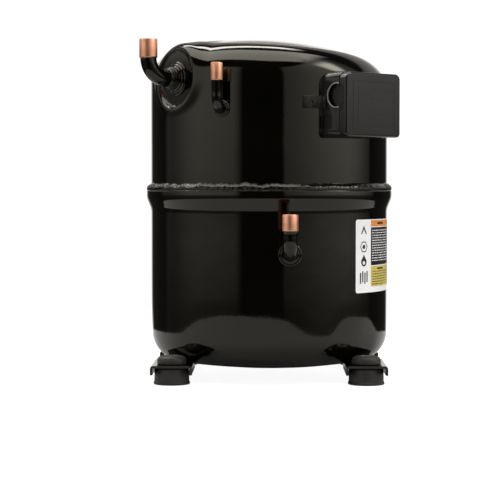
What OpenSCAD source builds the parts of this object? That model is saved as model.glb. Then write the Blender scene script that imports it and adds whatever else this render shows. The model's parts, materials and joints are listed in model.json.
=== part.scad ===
/* [Shell] */
// Outer radius of both shells
shell_r = 121.2; // [120:0.2:122]
// Steel thickness of both shells
wall = 3.5; // [3:0.5:4]
// Height of the lowest point of the bottom dome
bottom_z = 9; // [8:1:11]
// Height where the straight wall of the lower shell begins
bottom_wall_z = 45; // [44:1:46]
// Crown radius of the bottom dome
bottom_crown_r = 629; // [600:1:660]
// Height where the lower shell starts to open into its bell
bell_start_z = 169; // [166:1:170]
// Height where the bell reaches its full width
bell_full_z = 182; // [181:1:183]
// Height of the bell's rim
bell_rim_z = 190; // [189:1:192]
// Outer radius of the bell
bell_r = 126; // [125.8:0.1:126.4]
// Height of the upper shell's lower edge, inside the bell
upper_edge_z = 182; // [181.5:0.5:184]
// Height where the top dome starts to curve, on the axis
dome_start_z = 292; // [290:1:294]
// Shoulder radius of the top dome
dome_knuckle_r = 38; // [36:1:40]
// Crown radius of the top dome
dome_crown_r = 340; // [330:5:360]
// Lean of the top dome, which lifts its suction side
dome_lean = 4.5; // [3:0.5:5]
// Height of the weld bead that joins the shells
bead_h = 8; // [6:0.5:9]

/* [Mounting feet] */
// Distance between the mounting holes, both ways
mount_pitch = 190.5; // [188:0.5:192]
// Radius of the bolt hole in each steel sleeve
mount_hole_r = 4.2; // [4:0.1:4.5]
// Radius of each rubber grommet
grommet_r = 17.9; // [17:0.1:18]
// Overall height of each rubber grommet
grommet_h = 28; // [26:1:30]
// Outside width of each foot bracket
foot_w = 40.6; // [40:0.2:42]
// Steel thickness of the foot brackets
foot_t = 2.3; // [2:0.1:2.5]
// Height of the top of the foot brackets
foot_top_z = 19.6; // [19:0.2:20.4]
// Height of the lower edges of the foot brackets
foot_low_z = 10.4; // [9:0.2:11]
// Length of the bracket in front of its grommet
foot_nose = 20; // [19:1:22]
// Length of the bracket behind its grommet
foot_tail = 55; // [50:1:58]

/* [Suction port] */
// Azimuth of the suction pad, from straight ahead
suction_az = -52; // [-54:1:-50]
// Height of the suction pad's centre
suction_z = 300; // [298:1:302]
// Distance of the pad's flat face from the shell's axis
pad_face_n = 115.5; // [115:0.1:116]
// Radius of the pad's flat face
pad_r = 33; // [31:1:34]
// Outside radius of the suction tube
suction_tube_r = 7.95; // [7.8:0.05:8]
// Inside radius of the suction socket, for a 5/8 inch tube
suction_bore_r = 8; // [7.99:0.01:8.1]
// Distance of the upright stub from the shell's axis
suction_reach = 149.6; // [149:0.1:151]
// Height of the top of the suction socket
suction_top_z = 337.6; // [336:0.2:340]
// Length of the suction socket
suction_socket_l = 18.4; // [17:0.2:19]

/* [Process port] */
// Azimuth of the process stub
process_az = -22; // [-24:1:-20]
// Height of the process stub's run out of the shell
process_z = 269; // [267:1:271]
// Outside radius of the process tube
process_tube_r = 5; // [4.8:0.1:5]
// Inside radius of the process socket, for a 3/8 inch tube
process_bore_r = 4.82; // [4.8:0.01:4.85]
// Distance of the upright process stub from the shell's axis
process_reach = 134; // [133:0.5:136]
// Height of the top of the process stub
process_top_z = 312.4; // [310:0.2:315]
// Length of the process stub's socket
process_socket_l = 17; // [16:0.5:18]

/* [Discharge port] */
// Sideways place of the discharge stub
discharge_x = 20.2; // [19:0.2:21]
// Height of the discharge stub's run out of the shell
discharge_z = 128; // [127:0.5:129]
// Outside radius of the discharge tube
discharge_tube_r = 7.1; // [7:0.05:7.2]
// Inside radius of the discharge socket, for a 1/2 inch tube
discharge_bore_r = 6.4; // [6.38:0.01:6.45]
// Distance of the upright discharge stub in front of the shell's axis
discharge_reach = 144.5; // [144:0.5:146]
// Height of the top of the discharge stub
discharge_top_z = 166.9; // [165:0.1:168]
// Length of the discharge stub's socket
discharge_socket_l = 15.7; // [15:0.1:16.5]

/* [Terminal box] */
// Azimuth of the terminal box
box_az = 43; // [42:1:44]
// Height of the middle of the terminal box
box_z = 272.3; // [271:0.1:273]
// Width of the terminal box
box_w = 76; // [74:1:78]
// Height of the terminal box
box_h = 62; // [60:1:64]
// Distance of the cover's face from the shell's axis
box_face_n = 149; // [148:1:152]
// Distance of the cover's rear edge from the shell's axis
cover_edge_n = 139; // [138:1:140]
// Plastic thickness of the box
box_t = 2; // [1.8:0.1:2.2]
// Radius of the conduit opening, half in the base and half in the cover
conduit_r = 11.4; // [11:0.1:11.6]
// Height of the middle of the conduit opening
conduit_z = 281; // [280:1:282]
// Distance of the conduit opening's middle from the shell's axis
conduit_n = 135; // [134.5:0.5:135.5]

/* [Label] */
// Azimuth of the label's left edge
label_az = 44.6; // [44:0.2:46]
// Angle that the label covers
label_span = 70; // [60:1:75]
// Height of the label's lower edge
label_z = 88.5; // [88:0.5:90]
// Height of the label itself
label_h = 72.5; // [70:0.5:74]
// Thickness of the label
label_t = 0.3; // [0.2:0.05:0.4]

/* [Pump] */
// Height of the cylinders' common axis
bore_z = 100; // [99:1:101]
// Throw of the crankpin, half the stroke
throw = 12; // [11.5:0.5:12]
// Bore radius of the cylinders
cyl_r = 23; // [22.5:0.5:23]
// Length of each piston
piston_l = 19.4; // [18:0.2:19.4]
// Gap between a piston and its valve plate at the end of the stroke
top_clearance = 1; // [0.9:0.1:1.2]
// Radius of the crankpin
crankpin_r = 9; // [8.5:0.5:9]
// Radius of the main journal
journal_r = 12.5; // [12:0.5:13]
// Half the length of the cylinder block, along the cylinders
block_x = 76.4; // [76:0.2:77]
// Half the width of the cylinder block
block_y = 44; // [43:1:45]
// Half the height of the heads and valve plates
head_half_h = 32; // [31:1:32]
// Radial running clearance of shafts and pistons
running = 0.04; // [0.02:0.01:0.08]

/* [Motor] */
// Height of the stator's lower face
stator_z = 172; // [171:1:174]
// Height of the stator stack
stack_h = 75; // [70:1:78]
// Outer radius of the stator
stator_r = 86; // [84:1:87]
// Bore radius of the stator
stator_bore_r = 44.6; // [44.4:0.1:45]
// Outer radius of the rotor
rotor_r = 44; // [43.5:0.1:44]
// Number of stator slots
slot_count = 24; // [18:6:24]
// Radius of the circle of motor bolts
motor_bolt_pcr = 79; // [78:0.5:79.5]

/* [Suspension] */
// Distance of each spring from the shell's axis
spring_pcr = 92; // [91:0.5:93]
// Height of the springs' lower ends
spring_low_z = 102; // [101:1:104]
// Height of the springs' upper ends
spring_high_z = 132; // [131:1:133]
// Mean coil radius of the springs
spring_r = 9; // [8.5:0.5:9.5]
// Wire radius of the springs
spring_wire_r = 1.3; // [1.1:0.1:1.4]

/* [Hidden] */
$fn = 96;
eps = 0.05;
shell_fn = 256;

inner_r = shell_r - wall;
foot_xy = mount_pitch / 2;
quarters = [45, 135, 225, 315];
sides = [-1, 1];

steel_paint = [0.05, 0.05, 0.05];
copper = [0.85, 0.5, 0.38];
rubber = [0.06, 0.06, 0.06];
plastic = [0.3, 0.3, 0.29];
zinc = [0.7, 0.71, 0.72];
iron = [0.35, 0.35, 0.36];
bright_steel = [0.6, 0.61, 0.63];
aluminium = [0.75, 0.76, 0.78];
enamel_wire = [0.55, 0.22, 0.1];

// Points of an arc about centre c, from angle a0 to a1.
function arc(c, r, a0, a1, steps) =
  [for (i = [0:steps]) c + r * [cos(a0 + (a1 - a0) * i / steps), sin(a0 + (a1 - a0) * i / steps)]];

// Children with their +Z axis pointing out of the shell at an azimuth, a height and a distance from the axis.
module outward(azimuth, z, n) {
  rotate([0, 0, azimuth])
    translate([0, -n, z])
      rotate([90, 0, 0])
        children();
}

module at_feet() {
  for (x = sides, y = sides)
    translate([x * foot_xy, y * foot_xy, 0])
      children();
}

module ring(r_out, r_in, h) {
  difference() {
    cylinder(r = r_out, h = h);
    translate([0, 0, -eps])
      cylinder(r = r_in, h = h + 2 * eps);
  }
}

// A rod that runs along +Z, bends to +Y and rises.
module bent_rod(r, run, bend, rise, over) {
  translate([0, 0, -over])
    cylinder(r = r, h = run + over);
  translate([0, bend, run])
    rotate([90, 0, -90])
      rotate_extrude(angle = 90)
        translate([bend, 0])
          circle(r);
  translate([0, bend, run + bend])
    rotate([-90, 0, 0])
      cylinder(r = r, h = rise + over);
}

// A refrigerant stub: a bent tube with a wider socket at its upper end.
module stub(tube_r, bore_r, socket_r, run, bend, rise, socket_l) {
  seat_l = 1.5;
  difference() {
    union() {
      bent_rod(tube_r, run, bend, rise - socket_l / 2, 0);
      translate([0, bend + rise - socket_l, run + bend])
        rotate([-90, 0, 0])
          cylinder(r = socket_r, h = socket_l);
    }
    bent_rod(bore_r - 1, run, bend, rise - socket_l / 2, eps);
    translate([0, bend + rise - socket_l + seat_l, run + bend])
      rotate([-90, 0, 0])
        cylinder(r = bore_r, h = socket_l);
  }
}

// ---- Shells ----

bottom_crown_z = bottom_z + bottom_crown_r;
bottom_rise = bottom_crown_z - bottom_wall_z;
bottom_knuckle_r = (pow(bottom_crown_r, 2) - pow(shell_r, 2) - pow(bottom_rise, 2))
  / (2 * (bottom_crown_r - shell_r));
bottom_turn = asin((shell_r - bottom_knuckle_r) / (bottom_crown_r - bottom_knuckle_r));
dome_drop = sqrt(pow(dome_crown_r - dome_knuckle_r, 2) - pow(shell_r - dome_knuckle_r, 2));
dome_turn = asin((shell_r - dome_knuckle_r) / (dome_crown_r - dome_knuckle_r));
dome_spread = 1;

// Half the section of the lower shell, filled, drawn in by the given amount.
module lower_profile(inset) {
  polygon(concat(
    [[0, bell_rim_z + (inset > 0 ? 5 : 0)]],
    arc([0, bottom_crown_z], bottom_crown_r - inset, -90, -90 + bottom_turn, 6),
    arc([shell_r - bottom_knuckle_r, bottom_wall_z], bottom_knuckle_r - inset, -90 + bottom_turn, 0, 10),
    [[shell_r - inset, bell_start_z],
     [bell_r - inset, bell_full_z],
     [bell_r - inset, bell_rim_z + (inset > 0 ? 5 : 0)]]));
}

// Half the section of the top dome about its own leaning axis, filled and drawn in by the given amount.
module dome_profile(inset) {
  polygon(concat(
    [[0, -60], [shell_r + dome_spread - inset, -60]],
    arc([shell_r + dome_spread - dome_knuckle_r, 0], dome_knuckle_r - inset, 0, 90 - dome_turn, 10),
    arc([0, -dome_drop], dome_crown_r - inset, 90 - dome_turn + 0.5, 90, 8)));
}

module dome_fill(inset, low_z) {
  intersection() {
    translate([0, 0, low_z])
      cylinder(r = shell_r - inset, h = 400);
    union() {
      translate([0, 0, low_z - 1])
        cylinder(r = shell_r + 10, h = dome_start_z - 30 - low_z);
      translate([0, 0, dome_start_z])
        rotate([0, 0, suction_az])
          rotate([-dome_lean, 0, 0])
            rotate_extrude()
              dome_profile(inset);
    }
  }
}

module upper_shell() {
  pad_step = 3.5;
  color(steel_paint)
    difference() {
      union() {
        dome_fill(0, upper_edge_z);
        outward(suction_az, suction_z, 60)
          cylinder(r = pad_r, h = pad_face_n - 60);
      }
      outward(suction_az, suction_z, pad_face_n)
        cylinder(r = pad_r, h = 20);
      difference() {
        dome_fill(wall, upper_edge_z - 1);
        outward(suction_az, suction_z, pad_face_n - wall)
          cylinder(r = pad_r + pad_step, h = 20);
      }
      outward(suction_az, suction_z, 50)
        cylinder(r = pad_r - wall, h = pad_face_n - wall - 50);
      outward(suction_az, suction_z, 80)
        cylinder(r = suction_tube_r, h = 50);
      outward(process_az, process_z, 100)
        cylinder(r = process_tube_r, h = 30);
      outward(box_az, box_z, 100)
        cylinder(r = terminal_r, h = 30);
    }
}

module lower_shell() {
  color(steel_paint)
    difference() {
      rotate_extrude()
        lower_profile(0);
      rotate_extrude()
        lower_profile(wall);
      translate([discharge_x, 0, discharge_z])
        rotate([90, 0, 0])
          cylinder(r = discharge_tube_r, h = 150);
    }
}

module girth_weld() {
  color(steel_paint)
    rotate_extrude()
      polygon(concat(
        [[shell_r, bell_rim_z], [bell_r - 0.3, bell_rim_z]],
        arc([shell_r, bell_rim_z + bead_h / 2 - 1], bead_h / 2 + 1.2, -10, 80, 8),
        [[shell_r, bell_rim_z + bead_h]]));
}

// ---- Mounting feet ----

foot_l = foot_nose + foot_tail;
foot_bend_r = 3;
grommet_neck_r = 14.4;
grommet_groove_r = 12;
sleeve_wall = 1.4;

module foot_section() {
  half = foot_w / 2;
  difference() {
    polygon(concat(
      [[-half, foot_low_z]],
      arc([-half + foot_bend_r, foot_top_z - foot_bend_r], foot_bend_r, 180, 90, 6),
      arc([half - foot_bend_r, foot_top_z - foot_bend_r], foot_bend_r, 90, 0, 6),
      [[half, foot_low_z]]));
    translate([-half + foot_t, 0])
      square([foot_w - 2 * foot_t, foot_top_z - foot_t]);
  }
}

module foot_brackets() {
  color(steel_paint)
    for (x = sides, y = sides)
      difference() {
        translate([x * foot_xy, y * (foot_xy + foot_nose), 0])
          rotate([90, 0, y > 0 ? 0 : 180])
            linear_extrude(foot_l)
              foot_section();
        rotate_extrude()
          lower_profile(0);
        translate([x * foot_xy, y * foot_xy, 0])
          cylinder(r = grommet_groove_r, h = 30);
      }
}

module foot_grommets() {
  groove_low = foot_top_z - foot_t;
  color(rubber)
    at_feet()
      rotate_extrude()
        polygon([
            [mount_hole_r + sleeve_wall, 0], [grommet_r, 0], [grommet_r, 2.2], [grommet_r - 0.8, 3.6],
            [grommet_r - 0.9, groove_low - 2.5], [grommet_r - 2.6, groove_low],
            [grommet_groove_r, groove_low], [grommet_groove_r, foot_top_z], [grommet_neck_r, foot_top_z],
            [grommet_neck_r, grommet_h - 4.4], [grommet_neck_r - 1.3, grommet_h - 1.3],
            [grommet_neck_r - 4.4, grommet_h], [mount_hole_r + sleeve_wall, grommet_h]]);
}

module foot_sleeves() {
  color(zinc)
    at_feet()
      ring(mount_hole_r + sleeve_wall, mount_hole_r, grommet_h);
}

// ---- Refrigerant ports ----

suction_bend = suction_top_z - suction_socket_l - suction_z;

module suction_boss() {
  ring_step = 0.9;
  color(steel_paint)
    outward(suction_az, suction_z, pad_face_n)
      difference() {
        union() {
          for (i = [0:2])
            cylinder(r = 17 - 1.6 * i, h = 2 + i * ring_step * 1.4);
          cylinder(r = 9.8, h = 13.2);
          for (i = [0:2])
            translate([0, 0, 7.2 + 2 * i])
              cylinder(r = 11.3 - 0.5 * i, h = 1.3);
        }
        translate([0, 0, -eps])
          cylinder(r = suction_tube_r, h = 20);
      }
}

module suction_tube() {
  inside_l = 12;
  color(copper)
    outward(suction_az, suction_z, pad_face_n - inside_l)
      stub(suction_tube_r, suction_bore_r, suction_bore_r + 0.95,
        suction_reach - suction_bend - pad_face_n + inside_l, suction_bend,
        suction_top_z - suction_z - suction_bend, suction_socket_l);
}

process_bend = 12;

module process_boss() {
  color(steel_paint)
    difference() {
      outward(process_az, process_z, inner_r)
        union() {
          cylinder(r = 8.4, h = 5.4);
          cylinder(r = 7.2, h = 6.6);
        }
      outward(process_az, process_z, inner_r - 1)
        cylinder(r = process_tube_r, h = 20);
      translate([0, 0, process_z - 30])
        cylinder(r = shell_r, h = 60, $fn = shell_fn);
    }
}

module process_tube() {
  inside_l = 16;
  color(copper)
    outward(process_az, process_z, shell_r - inside_l)
      stub(process_tube_r, process_bore_r, process_bore_r + 0.95,
        process_reach - process_bend - shell_r + inside_l, process_bend,
        process_top_z - process_z - process_bend, process_socket_l);
}

discharge_bend = 17;

module discharge_boss() {
  color(steel_paint)
    difference() {
      translate([discharge_x, -shell_r + 4, discharge_z])
        rotate([90, 0, 0])
          union() {
            cylinder(r = 11.8, h = 7.4);
            cylinder(r = 9.6, h = 9.4);
          }
      translate([discharge_x, 0, discharge_z])
        rotate([90, 0, 0])
          cylinder(r = discharge_tube_r, h = 150);
      translate([0, 0, discharge_z - 50])
        cylinder(r = shell_r, h = 100, $fn = shell_fn);
    }
}

module discharge_tube() {
  color(copper)
    translate([discharge_x, -tube_end_y, discharge_z])
      rotate([90, 0, 0])
        stub(discharge_tube_r, discharge_bore_r, discharge_bore_r + 1.5,
          discharge_reach - discharge_bend - tube_end_y, discharge_bend,
          discharge_top_z - discharge_z - discharge_bend, discharge_socket_l);
}

// ---- Terminal box ----

terminal_r = 20;
box_corner = 6;
pin_r = 1.6;
pin_pcr = 9;

// A box outline with round corners, in the plane that faces out of the shell.
module box_outline(w, h, r) {
  square([w - 2 * r, h], center = true);
  square([w, h - 2 * r], center = true);
  for (x = sides, y = sides)
    translate([x * (w / 2 - r), y * (h / 2 - r)])
      circle(r);
}

module terminal_box_base() {
  back_n = 108;
  rim_w = 0.9;
  rim_h = 0.7;
  latch_z = -22.5;
  latch_n = 116.5;
  color(plastic)
    difference() {
      union() {
        outward(box_az, box_z, back_n)
          linear_extrude(cover_edge_n - back_n)
            box_outline(box_w, box_h, box_corner);
        intersection() {
          conduit_disc(conduit_r + rim_w, -rim_h, box_t);
          outward(box_az, box_z, back_n)
            translate([-box_w, -box_h, 0])
              cube([2 * box_w, 2 * box_h, cover_edge_n - back_n]);
        }
      }
      outward(box_az, box_z, back_n - 1)
        linear_extrude(60)
          box_outline(box_w - 2 * box_t, box_h - 2 * box_t, box_corner - box_t);
      translate([0, 0, upper_edge_z])
        cylinder(r = shell_r, h = 200, $fn = shell_fn);
      conduit_disc(conduit_r, -5, 10);
      outward(box_az, box_z, latch_n)
        translate([-box_w / 2 - 1, latch_z, 0])
          cube([2.2, 12, 12.5]);
    }
}

// A disc about the conduit opening's axis, from depth d0 inside the box's left wall, and d1 thick.
module conduit_disc(r, d0, d1) {
  rotate([0, 0, box_az])
    translate([-box_w / 2 + d0, -conduit_n, conduit_z])
      rotate([0, 90, 0])
        cylinder(r = r, h = d1);
}

module conduit_knockout() {
  color(plastic)
    conduit_disc(conduit_r - 0.4, box_t + 2.4, 1.6);
}

cover_gap = 0.3;

module terminal_box_cover() {
  depth = box_face_n - cover_edge_n - cover_gap;
  lip_t = 1.6;
  lip_l = 3;
  color(plastic)
    difference() {
      outward(box_az, box_z, cover_edge_n + cover_gap)
        difference() {
          union() {
            linear_extrude(depth)
              box_outline(box_w, box_h, box_corner);
            translate([0, 0, -lip_l])
              linear_extrude(lip_l + 1)
                box_outline(box_w - 2 * box_t - 2 * cover_gap, box_h - 2 * box_t - 2 * cover_gap, 3);
          }
          translate([0, 0, -lip_l - 1])
            linear_extrude(depth - box_t + lip_l + 1)
              box_outline(box_w - 2 * box_t - 2 * lip_t, box_h - 2 * box_t - 2 * lip_t, 2.5);
        }
      conduit_disc(conduit_r, -5, 10);
    }
}

// The welded steel strap that holds the box: a curved foot on the shell and an arm along the box's left wall.
module box_strap() {
  strap_h = 12;
  strap_t = 1.2;
  strap_z = 275;
  foot_start_az = 15.5;
  arm_end_n = 121.8;
  arm_in_n = sqrt(pow(shell_r, 2) - pow(box_w / 2 + strap_t, 2)) + strap_t;
  foot_end_az = box_az - asin(box_w / 2 / shell_r) - 0.05;
  color(steel_paint) {
    difference() {
      rotate([0, 0, foot_start_az - 90])
        translate([0, 0, strap_z - strap_h / 2])
          rotate_extrude(angle = foot_end_az - foot_start_az)
            translate([shell_r, 0])
              square([strap_t, strap_h]);
      outward(foot_start_az + 4, strap_z, 100)
        cylinder(r = 1.5, h = 40);
    }
    rotate([0, 0, box_az])
      translate([-box_w / 2 - strap_t, -arm_end_n, strap_z - strap_h / 2])
        cube([strap_t, arm_end_n - arm_in_n, strap_h]);
  }
}

module terminal_body() {
  color(iron)
    outward(box_az, box_z, 110)
      difference() {
        cylinder(r = terminal_r, h = 12);
        translate([0, 0, 3])
          cylinder(r = terminal_r - 2, h = 12);
        for (a = [90, 210, 330])
          rotate([0, 0, a])
            translate([pin_pcr, 0, -1])
              cylinder(r = 4, h = 5);
      }
}

module terminal_pins() {
  color(bright_steel)
    outward(box_az, box_z, 97)
      for (a = [90, 210, 330])
        rotate([0, 0, a])
          translate([pin_pcr, 0, 0])
            cylinder(r = pin_r, h = 36);
}

module terminal_glass() {
  color([0.3, 0.5, 0.45])
    outward(box_az, box_z, 109.6)
      for (a = [90, 210, 330])
        rotate([0, 0, a])
          translate([pin_pcr, 0, 0])
            ring(4, pin_r, 3.8);
}

module ground_screw() {
  screw_drop = 24;
  screw_x = 20;
  color(zinc)
    outward(box_az, box_z - screw_drop, shell_r - 0.9)
      translate([screw_x, 0, 0]) {
        cylinder(r = 4.4, h = 3.4, $fn = 6);
        cylinder(r = 2, h = 5.4);
      }
}

module data_label() {
  color([0.9, 0.75, 0.2])
    rotate([0, 0, label_az - 90])
      translate([0, 0, label_z])
        rotate_extrude(angle = label_span)
          translate([shell_r, 0])
            square([label_t, label_h]);
}

// ---- Pump ----

piston_out = block_x - top_clearance - throw;
piston_in = piston_out - piston_l;
block_low_z = bore_z - head_half_h;
flange_z = 132;
flange_h = 10;
flange_r = 90;
cavity_x = 37;
cavity_y = 36;
cavity_top_z = 124;
hub_r = 26;
hub_top_z = 160;
bush_r = 15.5;
sleeve_t = 4;
plate_t = 6;
gasket_t = 0.8;
head_out = 104;
head_y = 36;
head_in = block_x + plate_t + gasket_t;
chamber_low = 2;
chamber_high = 26;
chamber_h = 24;
bolt_y = 30.5;
bolt_z = 26.5;
head_bolt_r = 3;
post_r = 7.6;
motor_bolt_r = 3;
lobe_r = 14;
lobe_drop = 1;

module at_head_bolts() {
  for (s = sides, y = sides, z = sides)
    translate([0, y * bolt_y, bore_z + z * bolt_z])
      rotate([0, s * 90, 0])
        children();
}

module along_x(s, x, y, z) {
  translate([s * x, y, z])
    rotate([0, s * 90, 0])
      children();
}

module cylinder_block() {
  color(iron)
    difference() {
      union() {
        translate([-block_x, -block_y, block_low_z])
          cube([2 * block_x, 2 * block_y, flange_z + 2 - block_low_z]);
        translate([0, 0, flange_z])
          cylinder(r = flange_r, h = flange_h);
        for (a = quarters)
          rotate([0, 0, a]) {
            translate([spring_pcr, 0, flange_z])
              cylinder(r = lobe_r, h = flange_h - lobe_drop);
            translate([motor_bolt_pcr, 0, flange_z + 3])
              cylinder(r = post_r, h = stator_z - flange_z - 3);
          }
        translate([0, 0, flange_z + 1])
          cylinder(r = hub_r, h = hub_top_z - flange_z - 1);
      }
      translate([-cavity_x, -cavity_y, block_low_z - 1])
        cube([2 * cavity_x, 2 * cavity_y, cavity_top_z - block_low_z + 1]);
      translate([0, 0, cavity_top_z - 2])
        cylinder(r = bush_r, h = 100);
      for (s = sides)
        along_x(s, cavity_x - 1, 0, bore_z)
          cylinder(r = cyl_r + sleeve_t, h = 60);
      at_head_bolts()
        translate([0, 0, block_x - 18])
          cylinder(r = head_bolt_r, h = 40);
      for (a = quarters)
        rotate([0, 0, a])
          translate([motor_bolt_pcr, 0, stator_z - 24])
            cylinder(r = motor_bolt_r, h = 30);
    }
}

module main_bearing() {
  color([0.7, 0.55, 0.3])
    translate([0, 0, cavity_top_z])
      ring(bush_r, journal_r + running, hub_top_z - cavity_top_z);
}

module thrust_washer() {
  color(bright_steel)
    translate([0, 0, cavity_top_z - 2.6])
      ring(20, journal_r + running, 2.6);
}

module cylinder_sleeves() {
  color(iron)
    for (s = sides)
      along_x(s, cavity_x + 0.5, 0, bore_z)
        ring(cyl_r + sleeve_t, cyl_r, block_x - cavity_x - 0.5);
}

reed_w = 8;
reed_t = 0.5;
port_r = 3.2;
suction_y = 8;
discharge_y = -8;
reed_root_z = bore_z - 16;
reed_l = 28;
port_z = reed_root_z + reed_l - 5;

module valve_plates() {
  color(bright_steel)
    for (s = sides)
      difference() {
        translate([s > 0 ? block_x : -block_x - plate_t, -head_y, block_low_z])
          cube([plate_t, 2 * head_y, 2 * head_half_h]);
        at_head_bolts()
          cylinder(r = head_bolt_r + 0.3, h = 120);
        along_x(s, block_x - 1, suction_y, port_z)
          cylinder(r = port_r, h = plate_t + 2);
        along_x(s, block_x - 1, discharge_y, port_z)
          cylinder(r = port_r, h = plate_t + 2);
      }
}

module chamber_cut(s, y0, x0, x1) {
  translate([s > 0 ? x0 : -x1, y0, bore_z - chamber_h])
    cube([x1 - x0, chamber_high - chamber_low, 2 * chamber_h]);
}

module head_gaskets() {
  color([0.3, 0.3, 0.3])
    for (s = sides)
      difference() {
        translate([s > 0 ? block_x + plate_t : -block_x - plate_t - gasket_t, -head_y, block_low_z])
          cube([gasket_t, 2 * head_y, 2 * head_half_h]);
        at_head_bolts()
          cylinder(r = head_bolt_r + 0.3, h = 120);
        chamber_cut(s, chamber_low, block_x, head_out);
        chamber_cut(s, -chamber_high, block_x, head_out);
      }
}

discharge_line_r = 4;
discharge_line_x = 93;
discharge_line_z = 84;
muffler_y = -62;
muffler_half_l = 27;
line_bend = 10;

module cylinder_heads() {
  suction_port_z = 112;
  color(iron)
    for (s = sides)
      difference() {
        translate([s > 0 ? head_in : -head_out, -head_y, block_low_z])
          cube([head_out - head_in, 2 * head_y, 2 * head_half_h]);
        at_head_bolts()
          cylinder(r = head_bolt_r + 0.3, h = 120);
        chamber_cut(s, chamber_low, block_x, head_out - 5);
        chamber_cut(s, -chamber_high, block_x, head_out - 5);
        translate([s * discharge_line_x, -head_y + 12, discharge_line_z])
          rotate([90, 0, 0])
            cylinder(r = discharge_line_r, h = 20);
        translate([s * discharge_line_x, head_y - 12, suction_port_z])
          rotate([-90, 0, 0])
            cylinder(r = 6, h = 20);
      }
}

module head_bolts() {
  color(zinc)
    at_head_bolts() {
      translate([0, 0, block_x - 14])
        cylinder(r = head_bolt_r, h = head_out - block_x + 14);
      translate([0, 0, head_out])
        cylinder(r = 5.2, h = 4, $fn = 6);
    }
}

module valve_stops() {
  stop_t = 1.5;
  stop_lift = 4.2;
  color(bright_steel)
    for (s = sides)
      difference() {
        translate([s > 0 ? block_x + plate_t : -block_x - plate_t - stop_lift - stop_t,
            discharge_y - reed_w / 2 - 0.8, reed_root_z - 7])
          cube([stop_lift + stop_t, reed_w + 1.6, reed_l + 11]);
        translate([s > 0 ? block_x + plate_t - 1 : -block_x - plate_t - stop_lift,
            discharge_y - 10, reed_root_z - 3])
          cube([stop_lift + 1, 20, reed_l + 5]);
      }
}

// A reed that lies flat on a valve plate, x0 being its nearer face.
module reed(s, x0, y) {
  color(bright_steel)
    translate([s > 0 ? x0 : -x0 - reed_t, y - reed_w / 2, reed_root_z])
      cube([reed_t, reed_w, reed_l]);
}

reed_gap = 0.1;

module suction_reed_right() {
  reed(1, block_x - reed_gap - reed_t, suction_y);
}

module suction_reed_left() {
  reed(-1, block_x - reed_gap - reed_t, suction_y);
}

module discharge_reed_right() {
  reed(1, block_x + plate_t + reed_gap, discharge_y);
}

module discharge_reed_left() {
  reed(-1, block_x + plate_t + reed_gap, discharge_y);
}

// The two discharge lines and the muffler between them.
module discharge_muffler() {
  run = -muffler_y - line_bend - head_y;
  color(copper) {
    translate([-muffler_half_l, muffler_y, discharge_line_z])
      rotate([0, 90, 0])
        cylinder(r = 13, h = 2 * muffler_half_l);
    for (s = sides) {
      translate([s * discharge_line_x, -head_y, discharge_line_z])
        rotate([90, 0, 0])
          cylinder(r = discharge_line_r, h = run);
      translate([s * (discharge_line_x - line_bend), muffler_y + line_bend, discharge_line_z])
        rotate([0, 0, s > 0 ? -90 : 180])
          rotate_extrude(angle = 90)
            translate([line_bend, 0])
              circle(discharge_line_r);
      translate([s > 0 ? muffler_half_l : -discharge_line_x + line_bend, muffler_y, discharge_line_z])
        rotate([0, 90, 0])
          cylinder(r = discharge_line_r, h = discharge_line_x - line_bend - muffler_half_l);
    }
  }
}

loop_r = 4.6;
loop_bend_r = loop_r + 0.03;
loop_ring_r = 100;
loop_z = 56;
loop_bend = 12;
loop_top_bend = 8;
loop_out = sqrt(pow(loop_ring_r, 2) + pow(loop_bend, 2));
loop_end_az = asin(discharge_x / loop_out) + atan(loop_bend / loop_ring_r);
loop_start_az = -20;
tube_end_y = 108;

// A quarter bend in the X-Z plane that starts along X, towards s, and ends upright.
module rising_bend(s) {
  rotate([0, 0, s > 0 ? 0 : 180])
    translate([0, 0, loop_bend])
      rotate([90, 0, 0])
        rotate([0, 0, -90])
          rotate_extrude(angle = 90)
            translate([loop_bend, 0])
              circle(loop_bend_r);
}

// The upright end of the loop at an azimuth: a bend, a riser and a bend towards -Y or +Y.
module loop_end(azimuth, s, top_z, outwards, last_y) {
  x = loop_ring_r * sin(azimuth) + s * loop_bend * cos(azimuth);
  y = -loop_ring_r * cos(azimuth) + s * loop_bend * sin(azimuth);
  bend_y = y - outwards * loop_top_bend;
  rotate([0, 0, azimuth])
    translate([0, -loop_ring_r, loop_z])
      rising_bend(s);
  translate([x, y, loop_z + loop_bend])
    cylinder(r = loop_r, h = top_z - loop_top_bend - loop_z - loop_bend);
  translate([x, bend_y, top_z - loop_top_bend])
    rotate([90, 0, outwards * 90])
      rotate_extrude(angle = 90)
        translate([loop_top_bend, 0])
          circle(loop_bend_r);
  translate([x, bend_y, top_z])
    rotate([outwards * 90, 0, 0])
      cylinder(r = loop_r, h = abs(last_y - bend_y));
}

// The flexible discharge loop, from the muffler down, round the sump and up to the discharge port.
module shock_loop() {
  color(copper) {
    translate([0, 0, loop_z])
      rotate([0, 0, loop_end_az - 90])
        rotate_extrude(angle = 360 - loop_end_az + loop_start_az)
          translate([loop_ring_r, 0])
            circle(loop_r);
    loop_end(loop_end_az, -1, discharge_z, 1, -tube_end_y);
    loop_end(loop_start_az, 1, discharge_line_z, -1, muffler_y - 12);
  }
}

// ---- Crank and yoke, drawn with the crankpin at +Y ----

web_z = 113;
web_h = 8;
shaft_top_z = 258;
rotor_seat_r = 11.5;
pin_low_z = 85;
gallery_r = 3;
plug_r = 2.5;
plug_l = 6;

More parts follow.
